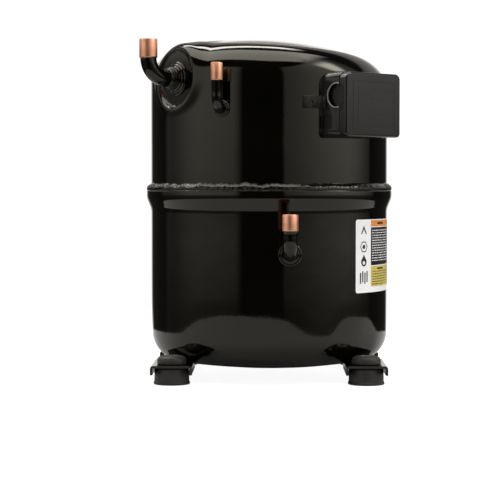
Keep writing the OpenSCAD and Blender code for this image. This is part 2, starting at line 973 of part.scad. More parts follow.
module crankshaft() {
  color(bright_steel)
    difference() {
      union() {
        translate([0, 0, web_z + web_h])
          cylinder(r = journal_r, h = hub_top_z - web_z - web_h);
        translate([0, 0, hub_top_z])
          cylinder(r = rotor_seat_r, h = shaft_top_z - hub_top_z);
        translate([0, throw, pin_low_z])
          cylinder(r = crankpin_r, h = web_z - pin_low_z + 1);
        translate([0, 0, web_z]) {
          cylinder(r = 15, h = web_h);
          translate([0, throw, 0])
            cylinder(r = crankpin_r + 4, h = web_h);
          intersection() {
            cylinder(r = 31, h = web_h);
            translate([-31, -31, 0])
              cube([62, 27, web_h]);
          }
        }
      }
      translate([0, throw, pin_low_z - 1])
        cylinder(r = gallery_r, h = web_z + web_h - 2 - pin_low_z);
      translate([0, throw / 2, shaft_top_z - plug_l - 10])
        cylinder(r = plug_r, h = plug_l + 11);
    }
}

cage_h = 8;

module counterweight() {
  weight_z = stator_z + stack_h + cage_h;
  weight_r = 42;
  weight_h = 7;
  color([0.7, 0.55, 0.3])
    translate([0, 0, weight_z])
      intersection() {
        ring(weight_r, weight_r - 10, weight_h);
        translate([-weight_r, 0, -1])
          cube([2 * weight_r, weight_r, weight_h + 2]);
      }
}

module oil_pickup() {
  tip_z = 30;
  tip_h = 8;
  pipe_r = 5;
  color(bright_steel)
    translate([0, throw, tip_z])
      difference() {
        union() {
          cylinder(r = gallery_r, h = pin_low_z + 12 - tip_z);
          cylinder(r1 = 2.6, r2 = pipe_r, h = tip_h);
          translate([0, 0, tip_h])
            cylinder(r = pipe_r, h = pin_low_z - tip_z - tip_h);
        }
        translate([0, 0, -1])
          cylinder(r = 1.6, h = 100);
      }
}

module gallery_plug() {
  color(zinc)
    translate([0, throw / 2, shaft_top_z - plug_l])
      cylinder(r = plug_r - running, h = plug_l);
}

slider = 15;
yoke_wall = 6;
slider_gap = 0.08;
slider_half_h = 10;

module slide_block() {
  color([0.7, 0.55, 0.3])
    difference() {
      translate([-slider, throw - slider, bore_z - slider_half_h])
        cube([2 * slider, 2 * slider, 2 * slider_half_h]);
      translate([0, throw, bore_z - 2 * slider_half_h])
        cylinder(r = crankpin_r + running, h = 4 * slider_half_h);
    }
}

slot_half_y = slider + throw + 0.5;
rod_r = 9;
yoke_half_h = 11;
groove_r = cyl_r - 1.6;
ring_w = 2;
groove_offsets = [4, 8.5];

module yoke() {
  color(aluminium)
    difference() {
      union() {
        translate([-slider - yoke_wall, -slot_half_y - yoke_wall, bore_z - yoke_half_h])
          cube([2 * (slider + yoke_wall), 2 * (slot_half_y + yoke_wall), 2 * yoke_half_h]);
        for (s = sides) {
          along_x(s, slider + yoke_wall - 1, 0, bore_z)
            cylinder(r = rod_r, h = piston_in - slider - yoke_wall + 2);
          along_x(s, piston_in, 0, bore_z)
            cylinder(r = cyl_r - running, h = piston_l);
        }
      }
      translate([-slider - slider_gap, -slot_half_y, bore_z - yoke_half_h - 1])
        cube([2 * (slider + slider_gap), 2 * slot_half_y, 2 * yoke_half_h + 2]);
      for (s = sides, g = groove_offsets)
        along_x(s, piston_out - g - ring_w, 0, bore_z)
          ring(cyl_r + 1, groove_r, ring_w);
    }
}

module piston_rings() {
  color(iron)
    for (s = sides, g = groove_offsets)
      along_x(s, piston_out - g - ring_w + 0.05, 0, bore_z)
        ring(cyl_r - 0.01, groove_r + 0.05, ring_w - 0.1);
}

// ---- Motor ----

slot_in_r = stator_bore_r + 3;
slot_out_r = 68;
slot_w = 6.4;
winding_gap = 0.3;
winding_h = 20;

module slot_bars(gap, low, high) {
  for (i = [0:slot_count - 1])
    rotate([0, 0, (i + 0.5) * 360 / slot_count])
      translate([slot_in_r + gap, -slot_w / 2 + gap, low])
        cube([slot_out_r - slot_in_r - 2 * gap, slot_w - 2 * gap, high - low]);
}

module stator_core() {
  flat_r = 83;
  color(iron)
    translate([0, 0, stator_z])
      difference() {
        cylinder(r = stator_r, h = stack_h);
        translate([0, 0, -1])
          cylinder(r = stator_bore_r, h = stack_h + 2);
        slot_bars(0, -1, stack_h + 1);
        for (a = quarters)
          rotate([0, 0, a])
            translate([motor_bolt_pcr, 0, -1])
              cylinder(r = motor_bolt_r + 0.3, h = stack_h + 2);
        for (a = [0, 90, 180, 270])
          rotate([0, 0, a])
            translate([flat_r, -40, -1])
              cube([20, 80, stack_h + 2]);
      }
}

module end_turn(z) {
  translate([0, 0, z])
    rotate_extrude()
      polygon(concat(
        arc([slot_in_r + 6, winding_h - 6], 6, 180, 90, 5),
        arc([slot_out_r - 6, winding_h - 6], 6, 90, 0, 5),
        [[slot_out_r - 0.3, 0.3], [slot_in_r + 0.3, 0.3]]));
}

module stator_winding() {
  color(enamel_wire) {
    slot_bars(winding_gap, stator_z - 1, stator_z + stack_h + 1);
    end_turn(stator_z + stack_h);
    mirror([0, 0, 1])
      end_turn(-stator_z);
  }
}

module motor_bolts() {
  color(zinc)
    for (a = quarters)
      rotate([0, 0, a])
        translate([motor_bolt_pcr, 0, 0]) {
          translate([0, 0, stator_z - 20])
            cylinder(r = motor_bolt_r, h = stack_h + 20);
          translate([0, 0, stator_z + stack_h])
            cylinder(r = 5.5, h = 4.5, $fn = 6);
        }
}

module rotor_core() {
  color(iron)
    translate([0, 0, stator_z])
      ring(rotor_r, rotor_seat_r, stack_h);
}

module rotor_cage() {
  color(aluminium)
    for (z = [stator_z - cage_h, stator_z + stack_h])
      translate([0, 0, z])
        ring(rotor_r - 1, 30, cage_h);
}

cover_r = 73;
cover_h = 48;
cover_t = 1.6;
plug_z = box_z;
plug_n = 97.5;
lead_z = plug_z - 4;

module motor_cover() {
  intake_r = 14;
  shoulder = 8;
  color([0.2, 0.2, 0.2])
    translate([0, 0, stator_z + stack_h])
      difference() {
        rotate_extrude()
          polygon([[cover_r - cover_t, 0], [cover_r, 0], [cover_r, cover_h - shoulder],
            [cover_r - shoulder, cover_h], [0, cover_h], [0, cover_h - cover_t],
            [cover_r - shoulder - 0.6, cover_h - cover_t], [cover_r - cover_t, cover_h - shoulder - 0.6]]);
        rotate([0, 0, suction_az])
          translate([0, -40, 1])
            cylinder(r = intake_r, h = cover_h + 1);
        outward(box_az, lead_z - stator_z - stack_h, 50)
          translate([-10, -8, 0])
            cube([20, 16, 40]);
      }
}

module overload_protector() {
  color([0.1, 0.1, 0.1])
    rotate([0, 0, 160])
      translate([0, -57, stator_z + stack_h + winding_h]) {
        cylinder(r = 10, h = 12);
        cylinder(r = 5, h = 15);
      }
}

module lead_plug() {
  color([0.15, 0.15, 0.15])
    outward(box_az, plug_z, plug_n - 1)
      difference() {
        cylinder(r = 15, h = 11);
        translate([0, 0, 0.5])
          for (a = [90, 210, 330])
            rotate([0, 0, a])
              translate([pin_pcr, 0, 0])
                cylinder(r = pin_r + 0.1, h = 20);
      }
}

module lead_wires() {
  lead_bend = 8;
  color([0.7, 0.1, 0.1])
    for (x = [-7, 0, 7])
      rotate([0, 0, box_az])
        translate([x, -plug_n + 1, lead_z])
          rotate([-90, 0, 0])
            bent_rod(1.3, 22, lead_bend, 2, 0);
}

// ---- Suspension ----

spring_turns = 4.5;
spring_steps = 12;
spring_sides = 6;

// One helical spring as a swept tube.
module helical_spring(low, high) {
  count = spring_turns * spring_steps;
  rise = high - low - 2 * spring_wire_r;
  rings = [for (i = [0:count], k = [0:spring_sides - 1])
    let (a = 360 * i / spring_steps, b = 360 * k / spring_sides)
      [(spring_r + spring_wire_r * cos(b)) * cos(a), (spring_r + spring_wire_r * cos(b)) * sin(a),
       low + spring_wire_r + rise * i / count + spring_wire_r * sin(b)]];
  walls = [for (i = [0:count - 1], k = [0:spring_sides - 1])
    let (next = (k + 1) % spring_sides, base = i * spring_sides)
      [base + k, base + spring_sides + k, base + spring_sides + next, base + next]];
  first = [for (k = [0:spring_sides - 1]) k];
  last = [for (k = [spring_sides - 1:-1:0]) count * spring_sides + k];
  polyhedron(rings, concat(walls, [first, last]));
}

module suspension_springs() {
  color(bright_steel)
    for (a = quarters)
      rotate([0, 0, a])
        translate([spring_pcr, 0, 0])
          helical_spring(spring_low_z, spring_high_z);
}

module spring_seats() {
  seat_t = 3;
  seat_w = 24;
  stud_r = 6;
  stud_h = 6;
  flange_drop = 10;
  color(steel_paint)
    intersection() {
      for (a = quarters)
        rotate([0, 0, a]) {
          translate([spring_pcr - 13, -seat_w / 2, spring_low_z - seat_t])
            cube([40, seat_w, seat_t]);
          translate([spring_pcr, 0, spring_low_z - seat_t])
            cylinder(r = stud_r, h = seat_t + stud_h);
          translate([110, -seat_w / 2, spring_low_z - seat_t - flange_drop])
            cube([20, seat_w, flange_drop + 2]);
        }
      cylinder(r = inner_r, h = 200);
    }
}

upper_shell();
lower_shell();
girth_weld();
foot_brackets();
foot_grommets();
foot_sleeves();
suction_boss();
suction_tube();
process_boss();
process_tube();
discharge_boss();
discharge_tube();
terminal_box_base();
terminal_box_cover();
conduit_knockout();
box_strap();
terminal_body();
terminal_pins();
terminal_glass();
ground_screw();
data_label();
cylinder_block();
main_bearing();
thrust_washer();
cylinder_sleeves();
valve_plates();
head_gaskets();
cylinder_heads();
head_bolts();
valve_stops();
discharge_muffler();
shock_loop();
suction_reed_right();
suction_reed_left();
discharge_reed_right();
discharge_reed_left();
crankshaft();
counterweight();
oil_pickup();
gallery_plug();
slide_block();
yoke();
piston_rings();
stator_core();
stator_winding();
motor_bolts();
rotor_core();
rotor_cage();
motor_cover();
overload_protector();
lead_wires();
lead_plug();
suspension_springs();
spring_seats();
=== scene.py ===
import json
import math
import random

import bmesh
import bpy
import numpy as np
from mathutils import Matrix, Vector, noise


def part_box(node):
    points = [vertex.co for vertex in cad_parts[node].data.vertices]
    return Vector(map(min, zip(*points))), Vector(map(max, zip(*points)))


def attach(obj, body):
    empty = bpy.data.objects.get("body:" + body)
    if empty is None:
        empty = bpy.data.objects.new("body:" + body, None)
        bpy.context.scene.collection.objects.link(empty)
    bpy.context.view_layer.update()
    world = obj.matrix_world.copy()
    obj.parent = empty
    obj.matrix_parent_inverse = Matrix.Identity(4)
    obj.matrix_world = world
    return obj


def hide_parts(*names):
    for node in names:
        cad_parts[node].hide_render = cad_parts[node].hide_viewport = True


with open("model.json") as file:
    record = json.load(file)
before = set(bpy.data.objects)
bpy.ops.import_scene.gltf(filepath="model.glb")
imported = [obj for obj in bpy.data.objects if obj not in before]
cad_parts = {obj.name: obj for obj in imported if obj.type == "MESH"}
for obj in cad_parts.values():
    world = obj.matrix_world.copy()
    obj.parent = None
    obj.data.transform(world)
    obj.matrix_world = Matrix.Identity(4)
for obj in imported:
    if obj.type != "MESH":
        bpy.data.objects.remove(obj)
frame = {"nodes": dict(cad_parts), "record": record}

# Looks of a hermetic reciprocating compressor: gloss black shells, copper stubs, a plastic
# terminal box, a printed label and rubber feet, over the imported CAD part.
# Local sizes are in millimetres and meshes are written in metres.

random.seed(7)
MM = 0.001
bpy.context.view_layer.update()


def span(node):
    """Lowest and highest corner of a CAD node, in millimetres."""
    lo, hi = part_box(node)
    return lo / MM, hi / MM


# ---- Sizes, from the CAD nodes where they can be read ----

BELL_R = span("lower_shell")[1].x
BELL_RIM_Z = span("lower_shell")[1].z
BOTTOM_Z = span("lower_shell")[0].z
SHELL_R = 121.2
WALL = 3.5
BOTTOM_WALL_Z = 45.0
BOTTOM_CROWN_R = 629.0
BELL_START_Z = 170.0
BELL_FULL_Z = 182.0
UPPER_EDGE_Z = span("upper_shell")[0].z
DOME_START_Z = 291.8
DOME_KNUCKLE_R = 38.0
DOME_CROWN_R = 340.0
DOME_LEAN = math.radians(4.5)
DOME_SPREAD = 1.0

SUCTION_AZ = math.radians(-52)
SUCTION_Z = 300.0
PAD_FACE_N = 115.5
PROCESS_AZ = math.radians(-22)
PROCESS_Z = 269.0
DISCHARGE_X = (span("discharge_boss")[0].x + span("discharge_boss")[1].x) / 2
DISCHARGE_Z = (span("discharge_boss")[0].z + span("discharge_boss")[1].z) / 2
BOX_AZ = math.radians(43)
BOX_Z = (span("terminal_box_base")[0].z + span("terminal_box_base")[1].z) / 2
BOX_W = 76.0
BOX_H = span("terminal_box_base")[1].z - span("terminal_box_base")[0].z
BOX_FACE_N = 149.0
COVER_EDGE_N = 139.0
CONDUIT_R = 11.4
CONDUIT_Z = 281.0
CONDUIT_N = 135.0
LABEL_AZ = math.radians(44.6)
LABEL_SPAN = math.radians(70)
LABEL_Z = span("data_label")[0].z
LABEL_H = span("data_label")[1].z - LABEL_Z
GROMMET_TOP_Z = span("foot_grommets")[1].z
FOOT_XY = 95.25
FOOT_TOP_Z = span("foot_brackets")[1].z


# ---- Shader graphs ----

class Graph:
    """Short calls for building a node tree."""

    def __init__(self, tree):
        self.tree = tree

    def node(self, kind, inputs=None, **settings):
        n = self.tree.nodes.new(kind)
        for key, value in settings.items():
            setattr(n, key, value)
        for key, value in (inputs or {}).items():
            self.feed(n.inputs[key], value)
        return n

    def feed(self, socket, value):
        if isinstance(value, bpy.types.NodeSocket):
            self.tree.links.new(value, socket)
        else:
            socket.default_value = value

    def math(self, operation, *values):
        n = self.node("ShaderNodeMath", operation=operation)
        for socket, value in zip(n.inputs, values):
            self.feed(socket, value)
        return n.outputs[0]

    def add(self, *values):
        total = values[0]
        for value in values[1:]:
            total = self.math("ADD", total, value)
        return total

    def times(self, *values):
        total = values[0]
        for value in values[1:]:
            total = self.math("MULTIPLY", total, value)
        return total

    def ramp(self, value, start, end, low=0.0, high=1.0):
        """A smooth change from low at start to high at end."""
        n = self.node("ShaderNodeMapRange", interpolation_type="SMOOTHSTEP")
        flip = start > end
        if flip:
            start, end, low, high = end, start, high, low
        self.feed(n.inputs["Value"], value)
        limits = {"From Min": start, "From Max": end, "To Min": low, "To Max": high}
        for key, number in limits.items():
            n.inputs[key].default_value = number
        return n.outputs[0]

    def band(self, value, low, high, soft):
        """One between low and high, falling to nothing over the soft edges."""
        return self.times(self.ramp(value, low - soft, low + soft),
                          self.ramp(value, high + soft, high - soft))

    def noise(self, vector, scale, detail=3.0, rough=0.5):
        inputs = {"Vector": vector, "Scale": scale, "Detail": detail, "Roughness": rough}
        return self.node("ShaderNodeTexNoise", inputs).outputs["Fac"]

    def mix(self, factor, a, b):
        n = self.node("ShaderNodeMix", data_type="RGBA")
        self.feed(n.inputs[0], factor)
        self.feed(n.inputs[6], a)
        self.feed(n.inputs[7], b)
        return n.outputs[2]


def finish(name, color, rough, metal=0.0, vary=0.12, patch=40.0, grain=900.0, bump=0.02,
           stretch=None, wave=0.0, wave_scale=45.0, second=None, sheen_tint=(1.0, 1.0, 1.0),
           glow=0.0):
    """A procedural finish: patches of colour, uneven gloss, a fine grain and a slow wave."""
    mat = bpy.data.materials.new(name)
    mat.use_nodes = True
    g = Graph(mat.node_tree)
    shader = mat.node_tree.nodes["Principled BSDF"]
    place = g.node("ShaderNodeTexCoord").outputs["Object"]
    if stretch:
        place = g.node("ShaderNodeMapping", {"Vector": place, "Scale": stretch}).outputs[0]
    patches = g.noise(place, patch)
    fine = g.noise(place, grain, 2.0)
    dark = [c * (1 - vary) for c in color] + [1.0]
    light = [min(1.0, c * (1 + vary)) for c in (second or color)] + [1.0]
    g.feed(shader.inputs["Base Color"], g.mix(g.ramp(patches, 0.3, 0.7), dark, light))
    spread = g.add(g.times(patches, 0.5), g.times(fine, 0.5))
    gloss = g.ramp(spread, 0.3, 0.7, rough * 0.75, min(1.0, rough * 1.3))
    g.feed(shader.inputs["Roughness"], gloss)
    shader.inputs["Metallic"].default_value = metal
    shader.inputs["IOR"].default_value = 1.45
    shader.inputs["Specular Tint"].default_value = (*sheen_tint, 1)
    # Glow is painted light: where it is set, the surface gives off light of its own though it is no lamp.
    shader.inputs["Emission Color"].default_value = (1, 1, 1, 1)
    shader.inputs["Emission Strength"].default_value = glow
    height = g.times(fine, bump)
    if wave:
        height = g.add(height, g.times(g.noise(place, wave_scale, 3.0, 0.35), wave))
    bumped = g.node("ShaderNodeBump", {"Height": height, "Strength": 1.0, "Distance": MM})
    g.feed(shader.inputs["Normal"], bumped.outputs[0])
    return mat


WARM = (1.0, 0.965, 0.84)
PAINT = finish("gloss_black_paint", (0.0012, 0.0011, 0.0007), 0.055, vary=0.3, patch=18,
               grain=420, bump=0.012, wave=0.115, wave_scale=36, sheen_tint=WARM)
WELD_PAINT = finish("painted_weld", (0.004, 0.0039, 0.0036), 0.19, vary=0.4, grain=700, bump=0.05, wave=0.35,
                    wave_scale=170, sheen_tint=WARM)
STRAP_PAINT = finish("painted_strap", (0.006, 0.006, 0.0055), 0.3, vary=0.4, patch=160, grain=500, bump=0.1,
                     wave=0.5, wave_scale=220, sheen_tint=WARM)
COPPER = finish("bare_copper", (0.78, 0.33, 0.2), 0.4, metal=1.0, vary=0.1, patch=60, grain=800, bump=0.03,
                stretch=(1.0, 1.0, 0.12), second=(0.9, 0.47, 0.31))
RUBBER = finish("moulded_rubber", (0.024, 0.0235, 0.022), 0.5, vary=0.15, patch=70, grain=1100, bump=0.04)
ZINC = finish("zinc_plate", (0.62, 0.62, 0.60), 0.32, metal=1.0, vary=0.12, patch=90, grain=900, bump=0.03)
BRIGHT = finish("ground_steel", (0.55, 0.56, 0.58), 0.22, metal=1.0, vary=0.08, grain=1200, bump=0.02)
BOX = finish("satin_box_plastic", (0.012, 0.0115, 0.011), 0.34, vary=0.1, patch=25, grain=1500, bump=0.012)
# The conduit rim's pale grey colour is a painted highlight on its raised lip.
RIM_PLASTIC_PAINTED_HIGHLIGHT = finish("rim_plastic_painted_highlight", (0.36, 0.36, 0.34), 0.22, vary=0.15, patch=60, grain=1200, bump=0.02)
# Glossy dark plastic of the base; on the cover's skirt and rounded edge it also serves as painted shade, a
# dark outline.
BASE_PLASTIC_AND_EDGE_SHADE = finish("glossy_box_plastic_and_edge_shade", (0.006, 0.006, 0.0055), 0.2, vary=0.15, patch=25,
                      grain=1500, bump=0.01)
DARK_PLASTIC = finish("dark_plastic", (0.02, 0.02, 0.02), 0.4, vary=0.1, grain=1200, bump=0.02)
GLASS = finish("fused_glass", (0.16, 0.34, 0.31), 0.12, vary=0.15, patch=200, grain=600, bump=0.02)
IRON = finish("machined_iron", (0.12, 0.12, 0.125), 0.5, metal=0.6, vary=0.2, patch=60, grain=600, bump=0.15)
BRONZE = finish("bearing_bronze", (0.6, 0.42, 0.2), 0.3, metal=1.0, vary=0.12, grain=900, bump=0.03)
GASKET = finish("pressed_fibre", (0.16, 0.16, 0.15), 0.8, vary=0.15, grain=1300, bump=0.1)
ALUMINIUM = finish("machined_aluminium", (0.7, 0.71, 0.73), 0.3, metal=1.0, vary=0.08, grain=900, bump=0.04)
LAMINATION = finish("stacked_steel", (0.22, 0.22, 0.24), 0.4, metal=0.8, vary=0.15, patch=50,
                    grain=1000, bump=0.2,
                    stretch=(0.05, 0.05, 2.0))
WIRE = finish("varnished_wire", (0.42, 0.13, 0.04), 0.3, metal=0.5, vary=0.25, patch=150, grain=450, bump=0.8)
SLEEVING = finish("braided_sleeving", (0.42, 0.05, 0.04), 0.6, vary=0.2, patch=300, grain=900, bump=0.2)
# The label film glows faintly (glow=0.12): a painted glow that lightens it beyond what the lamps give.
WHITE_FILM_PAINTED_GLOW = finish("white_film_painted_glow", (0.9, 0.91, 0.93), 0.3, vary=0.02, patch=50, grain=900,
                    bump=0.004, glow=0.12)
ORANGE_INK = finish("orange_ink", (0.85, 0.33, 0.09), 0.3, vary=0.04, grain=900, bump=0.004)
YELLOW_INK = finish("yellow_ink", (0.72, 0.6, 0.16), 0.3, vary=0.04, grain=900, bump=0.004)
BLACK_INK = finish("black_ink", (0.02, 0.02, 0.018), 0.3, vary=0.1, grain=900, bump=0.004)

# The record's material slots and the finish each CAD node gets.
SLOT_FINISH = {
    "black_paint": PAINT, "copper": COPPER, "rubber": RUBBER, "zinc_steel": ZINC,
    "bright_steel": BRIGHT, "box_plastic": BOX, "black_plastic": DARK_PLASTIC,
    "seal_glass": GLASS, "label": WHITE_FILM_PAINTED_GLOW, "cast_iron": IRON, "bronze": BRONZE,
    "gasket": GASKET, "aluminium": ALUMINIUM, "lamination": LAMINATION, "enamel_wire": WIRE,
    "lead_sleeving": SLEEVING}


# ---- Mesh building ----

def piece(name, points, faces, material, body, nodes, sharp=35.0, face_materials=None,
          materials=None):
    """One visible piece, in millimetres, riding on a body and standing for CAD nodes."""
    mesh = bpy.data.meshes.new(name)
    mesh.from_pydata([tuple(float(c) * MM for c in p) for p in points], [], faces)
    for m in materials or [material]:
        mesh.materials.append(m)
    if face_materials:
        mesh.polygons.foreach_set("material_index", face_materials)
    mesh.validate()
    face_outward(mesh)
    mesh.shade_smooth()
    mesh.set_sharp_from_angle(angle=math.radians(sharp))
    obj = bpy.data.objects.new(name, mesh)
    bpy.context.scene.collection.objects.link(obj)
    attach(obj, body)
    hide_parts(*nodes)
    return obj


def face_outward(mesh):
    """Turns every face of a closed mesh outward."""
    loose = bmesh.new()
    loose.from_mesh(mesh)
    bmesh.ops.recalc_face_normals(loose, faces=loose.faces)
    loose.to_mesh(mesh)
    loose.free()
    mesh.update()


def grid_faces(rows, columns, closed_rows=False, closed_columns=True):
    faces = []
    for i in range(rows if closed_rows else rows - 1):
        for j in range(columns if closed_columns else columns - 1):
            i2, j2 = (i + 1) % rows, (j + 1) % columns
            faces.append((i * columns + j, i * columns + j2, i2 * columns + j2, i2 * columns + j))
    return faces


def arc(cx, cy, r, start, end, steps):
    """Points of an arc in a section, from one angle to the other, in degrees."""
    turns = [math.radians(start + (end - start) * i / steps) for i in range(steps + 1)]
    return [(cx + r * math.cos(t), cy + r * math.sin(t)) for t in turns]


def revolve(section, steps=192, closed=True, place=None):
    """A section of (radius, height) points turned about +Z, then placed."""
    points = []
    for r, z in section:
        for k in range(steps):
            t = 2 * math.pi * k / steps
            points.append(Vector((r * math.cos(t), r * math.sin(t), z)))
    if place is not None:
        points = [place @ p for p in points]
    return points, grid_faces(len(section), steps, closed_rows=closed)


def outward(azimuth, z, n):
    """Places local +Z out of the shell, local +Y up and local +X to the right as seen from outside."""
    return (Matrix.Rotation(azimuth, 4, "Z") @ Matrix.Translation((0, -n, z))
            @ Matrix.Rotation(math.pi / 2, 4, "X"))


def rounded(section, closed=True, r=1.0, steps=3):
    """The section with each corner replaced by a small curve."""
    out = []
    count = len(section)
    for i, p in enumerate(section):
        if not closed and i in (0, count - 1):
            out.append(p)
            continue
        p = np.array(p, float)
        a, b = np.array(section[i - 1], float), np.array(section[(i + 1) % count], float)
        la, lb = np.linalg.norm(a - p), np.linalg.norm(b - p)
        cut = min(r, la * 0.45, lb * 0.45)
        start, end = p + (a - p) / la * cut, p + (b - p) / lb * cut
        for k in range(steps + 1):
            t = k / steps
            out.append(tuple((1 - t) ** 2 * start + 2 * t * (1 - t) * p + t ** 2 * end))
    return out


def join(parts):
    """Several (points, faces) as one."""
    points, faces = [], []
    for p, f in parts:
        base = len(points)
        points += list(p)
        faces += [tuple(i + base for i in face) for face in f]
    return points, faces


# ---- Upper shell ----

def smooth_max(a, b, k):
    h = np.clip(0.5 + 0.5 * (a - b) / k, 0, 1)
    return b * (1 - h) + a * h + k * h * (1 - h)


def smooth_min(a, b, k):
    return -smooth_max(-a, -b, k)


def rounded_disc(rho, n, radius, face_n, edge_r):
    """Distance to a round bar that ends at face_n with a rounded rim."""
    qx = rho - (radius - edge_r)
    qy = n - (face_n - edge_r)
    outside = np.hypot(np.maximum(qx, 0), np.maximum(qy, 0))
    return np.minimum(np.maximum(qx, qy), 0) + outside - edge_r


def dome_distance(x, y, z, inset):
    """Distance to the leaning dome with its straight wall."""
    away = np.array([math.sin(SUCTION_AZ), -math.cos(SUCTION_AZ)])
    along = x * away[0] + y * away[1]
    across = -x * away[1] + y * away[0]
    h = z - DOME_START_Z
    tilted_along = along * math.cos(DOME_LEAN) + np.maximum(h, -6.0) * math.sin(DOME_LEAN)
    tilted_h = -along * math.sin(DOME_LEAN) + h * math.cos(DOME_LEAN)
    r = np.hypot(tilted_along, across)
    knuckle_x = SHELL_R + DOME_SPREAD - DOME_KNUCKLE_R
    drop = math.sqrt((DOME_CROWN_R - DOME_KNUCKLE_R) ** 2 - (SHELL_R - DOME_KNUCKLE_R) ** 2)
    turn = math.pi / 2 - math.asin((SHELL_R - DOME_KNUCKLE_R) / (DOME_CROWN_R - DOME_KNUCKLE_R))
    angle = np.arctan2(tilted_h, r - knuckle_x)
    wall = r - (SHELL_R + DOME_SPREAD)
    knuckle = np.hypot(r - knuckle_x, tilted_h) - DOME_KNUCKLE_R
    crown = np.hypot(r, tilted_h + drop) - DOME_CROWN_R
    d = np.where(tilted_h <= 0, wall, np.where((angle < turn) & (r > knuckle_x), knuckle, crown))
    return smooth_max(np.hypot(x, y) - SHELL_R, d, 1.2) + inset


def upper_distance(p, inset):
    x, y, z = p[..., 0], p[..., 1], p[..., 2]
    n = x * math.sin(SUCTION_AZ) - y * math.cos(SUCTION_AZ)
    side = x * math.cos(SUCTION_AZ) + y * math.sin(SUCTION_AZ)
    rho = np.hypot(side, z - SUCTION_Z)
    dome = dome_distance(x, y, z, inset)
    pad = np.maximum(rounded_disc(rho, n, 35.0, PAD_FACE_N, 8.5), 40.0 - n) + inset
    body = smooth_min(dome, pad, 11.0)
    hollow = np.maximum(rho - 27.5, PAD_FACE_N - inset - n)
    return smooth_max(body, -hollow, 5.0)


def upper_surface(inset, azimuths, rises):
    """Where rays from a point inside the dome meet the shell, row by row."""
    centre = np.array([0.0, 0.0, 232.0])
    rows = []
    for rise in rises:
        if rise < 0:
            z = centre[2] + (centre[2] - UPPER_EDGE_Z) * rise
            r = SHELL_R - inset
            rows.append(np.stack([r * np.sin(azimuths), -r * np.cos(azimuths), np.full_like(azimuths, z)], 1))
            continue
        flat = math.cos(rise)
        way = np.stack([flat * np.sin(azimuths), -flat * np.cos(azimuths),
                        np.full_like(azimuths, math.sin(rise))], 1)
        near, far = np.full(len(azimuths), 40.0), np.full(len(azimuths), 200.0)
        for _ in range(34):
            middle = (near + far) / 2
            inside = upper_distance(centre + way * middle[:, None], inset) < 0
            near, far = np.where(inside, middle, near), np.where(inside, far, middle)
        rows.append(centre + way * ((near + far) / 2)[:, None])
    return rows


def spread_angles():
    """Azimuths round the shell, close together near the suction pad."""
    out, a = [], -180.0
    while a < 180.0 - 1e-6:
        out.append(a)
        near_pad = abs(a - math.degrees(SUCTION_AZ)) < 36
        a += 0.5 if near_pad else 2.0
    return np.radians(out)


def build_upper_shell():
    azimuths = spread_angles()
    over_pad = np.linspace(12.6, 56, 72)
    degrees = [*np.linspace(0, 12, 9), *over_pad, *np.linspace(57.5, 88.5, 20)]
    rises = [-1.0, -0.98, -0.6, -0.2] + [math.radians(a) for a in degrees]
    columns = len(azimuths)
    outer = upper_surface(0.0, azimuths, rises)
    inner = upper_surface(WALL, azimuths, rises)
    points = [tuple(p) for row in [*reversed(inner), *outer] for p in row]
    faces = grid_faces(2 * len(rises), columns)
    top_in, top_out = inner[-1].mean(0), outer[-1].mean(0)
    points += [tuple(top_in), tuple(top_out)]
    last = (2 * len(rises) - 1) * columns
    for j in range(columns):
        k = (j + 1) % columns
        faces.append((len(points) - 2, k, j))
        faces.append((last + j, last + k, len(points) - 1))
    piece("shell_top", points, faces, PAINT, "shell", ["upper_shell"], sharp=60)


# ---- Lower shell and girth weld ----

def draw_in(p):
    """The pressed wall's slight waviness above the bottom curve, where it starts to draw in early."""
    start_z, depth = 85.0, 1.7
    if p.z >= start_z or math.hypot(p.x, p.y) < 60:
        return p
    az = math.degrees(math.atan2(p.x, -p.y))
    lobes = ((-14, 26, 1.0), (47, 13, 1.0), (118, 25, 0.7), (-108, 30, 0.8), (172, 24, 0.6))
    pull = 0.12
    for centre, width, share in lobes:
        off = (az - centre + 180) % 360 - 180
        pull += share * math.exp(-(off / width) ** 4)
    shift = depth * pull * ((start_z - max(p.z, 45.0)) / 40) ** 2
    scale = 1 - shift / math.hypot(p.x, p.y)
    return Vector((p.x * scale, p.y * scale, p.z))


def build_lower_shell():
    crown_z = BOTTOM_Z + BOTTOM_CROWN_R
    rise = crown_z - BOTTOM_WALL_Z
    knuckle = (BOTTOM_CROWN_R ** 2 - SHELL_R ** 2 - rise ** 2) / (2 * (BOTTOM_CROWN_R - SHELL_R))
    turn = math.degrees(math.asin((SHELL_R - knuckle) / (BOTTOM_CROWN_R - knuckle)))

    def side(inset):
        """The wall's section, from the middle of the bottom up into the bell."""
        bell = [(SHELL_R - inset, BELL_START_Z), (BELL_R - inset, BELL_FULL_Z)]
        low = arc(0, crown_z, BOTTOM_CROWN_R - inset, -90 + 0.4, -90 + turn, 14)
        low += arc(SHELL_R - knuckle, BOTTOM_WALL_Z, knuckle - inset, -90 + turn, 0, 22)[1:]
        heights = (50.0, 55.0, 60.0, 65.0, 70.0, 75.0, 80.0, 86.0, 110.0, 140.0)
        low += [(SHELL_R - inset, z) for z in heights]
        rise_out = [low[-1]] + bell + [(BELL_R - inset, BELL_RIM_Z)]
        return low + rounded(rise_out, closed=False, r=3.0, steps=7)[1:-1]

    lip = [(BELL_R, BELL_FULL_Z + 3), (BELL_R, BELL_RIM_Z), (BELL_R - WALL, BELL_RIM_Z)]
    outer = side(0) + rounded(lip, closed=False, r=1.6)[1:]
    section = outer + list(reversed(side(WALL)))
    points, faces = revolve(section, 240, closed=False)
    points = [draw_in(p) for p in points]
    rows, columns = len(section), 240
    points += [Vector((0, 0, BOTTOM_Z)), Vector((0, 0, BOTTOM_Z + WALL))]
    for k in range(columns):
        nxt = (k + 1) % columns
        faces.append((rows * columns, nxt, k))
        faces.append((rows * columns + 1, (rows - 1) * columns + k, (rows - 1) * columns + nxt))
    piece("shell_bottom", points, faces, PAINT, "shell", ["lower_shell"], sharp=50)


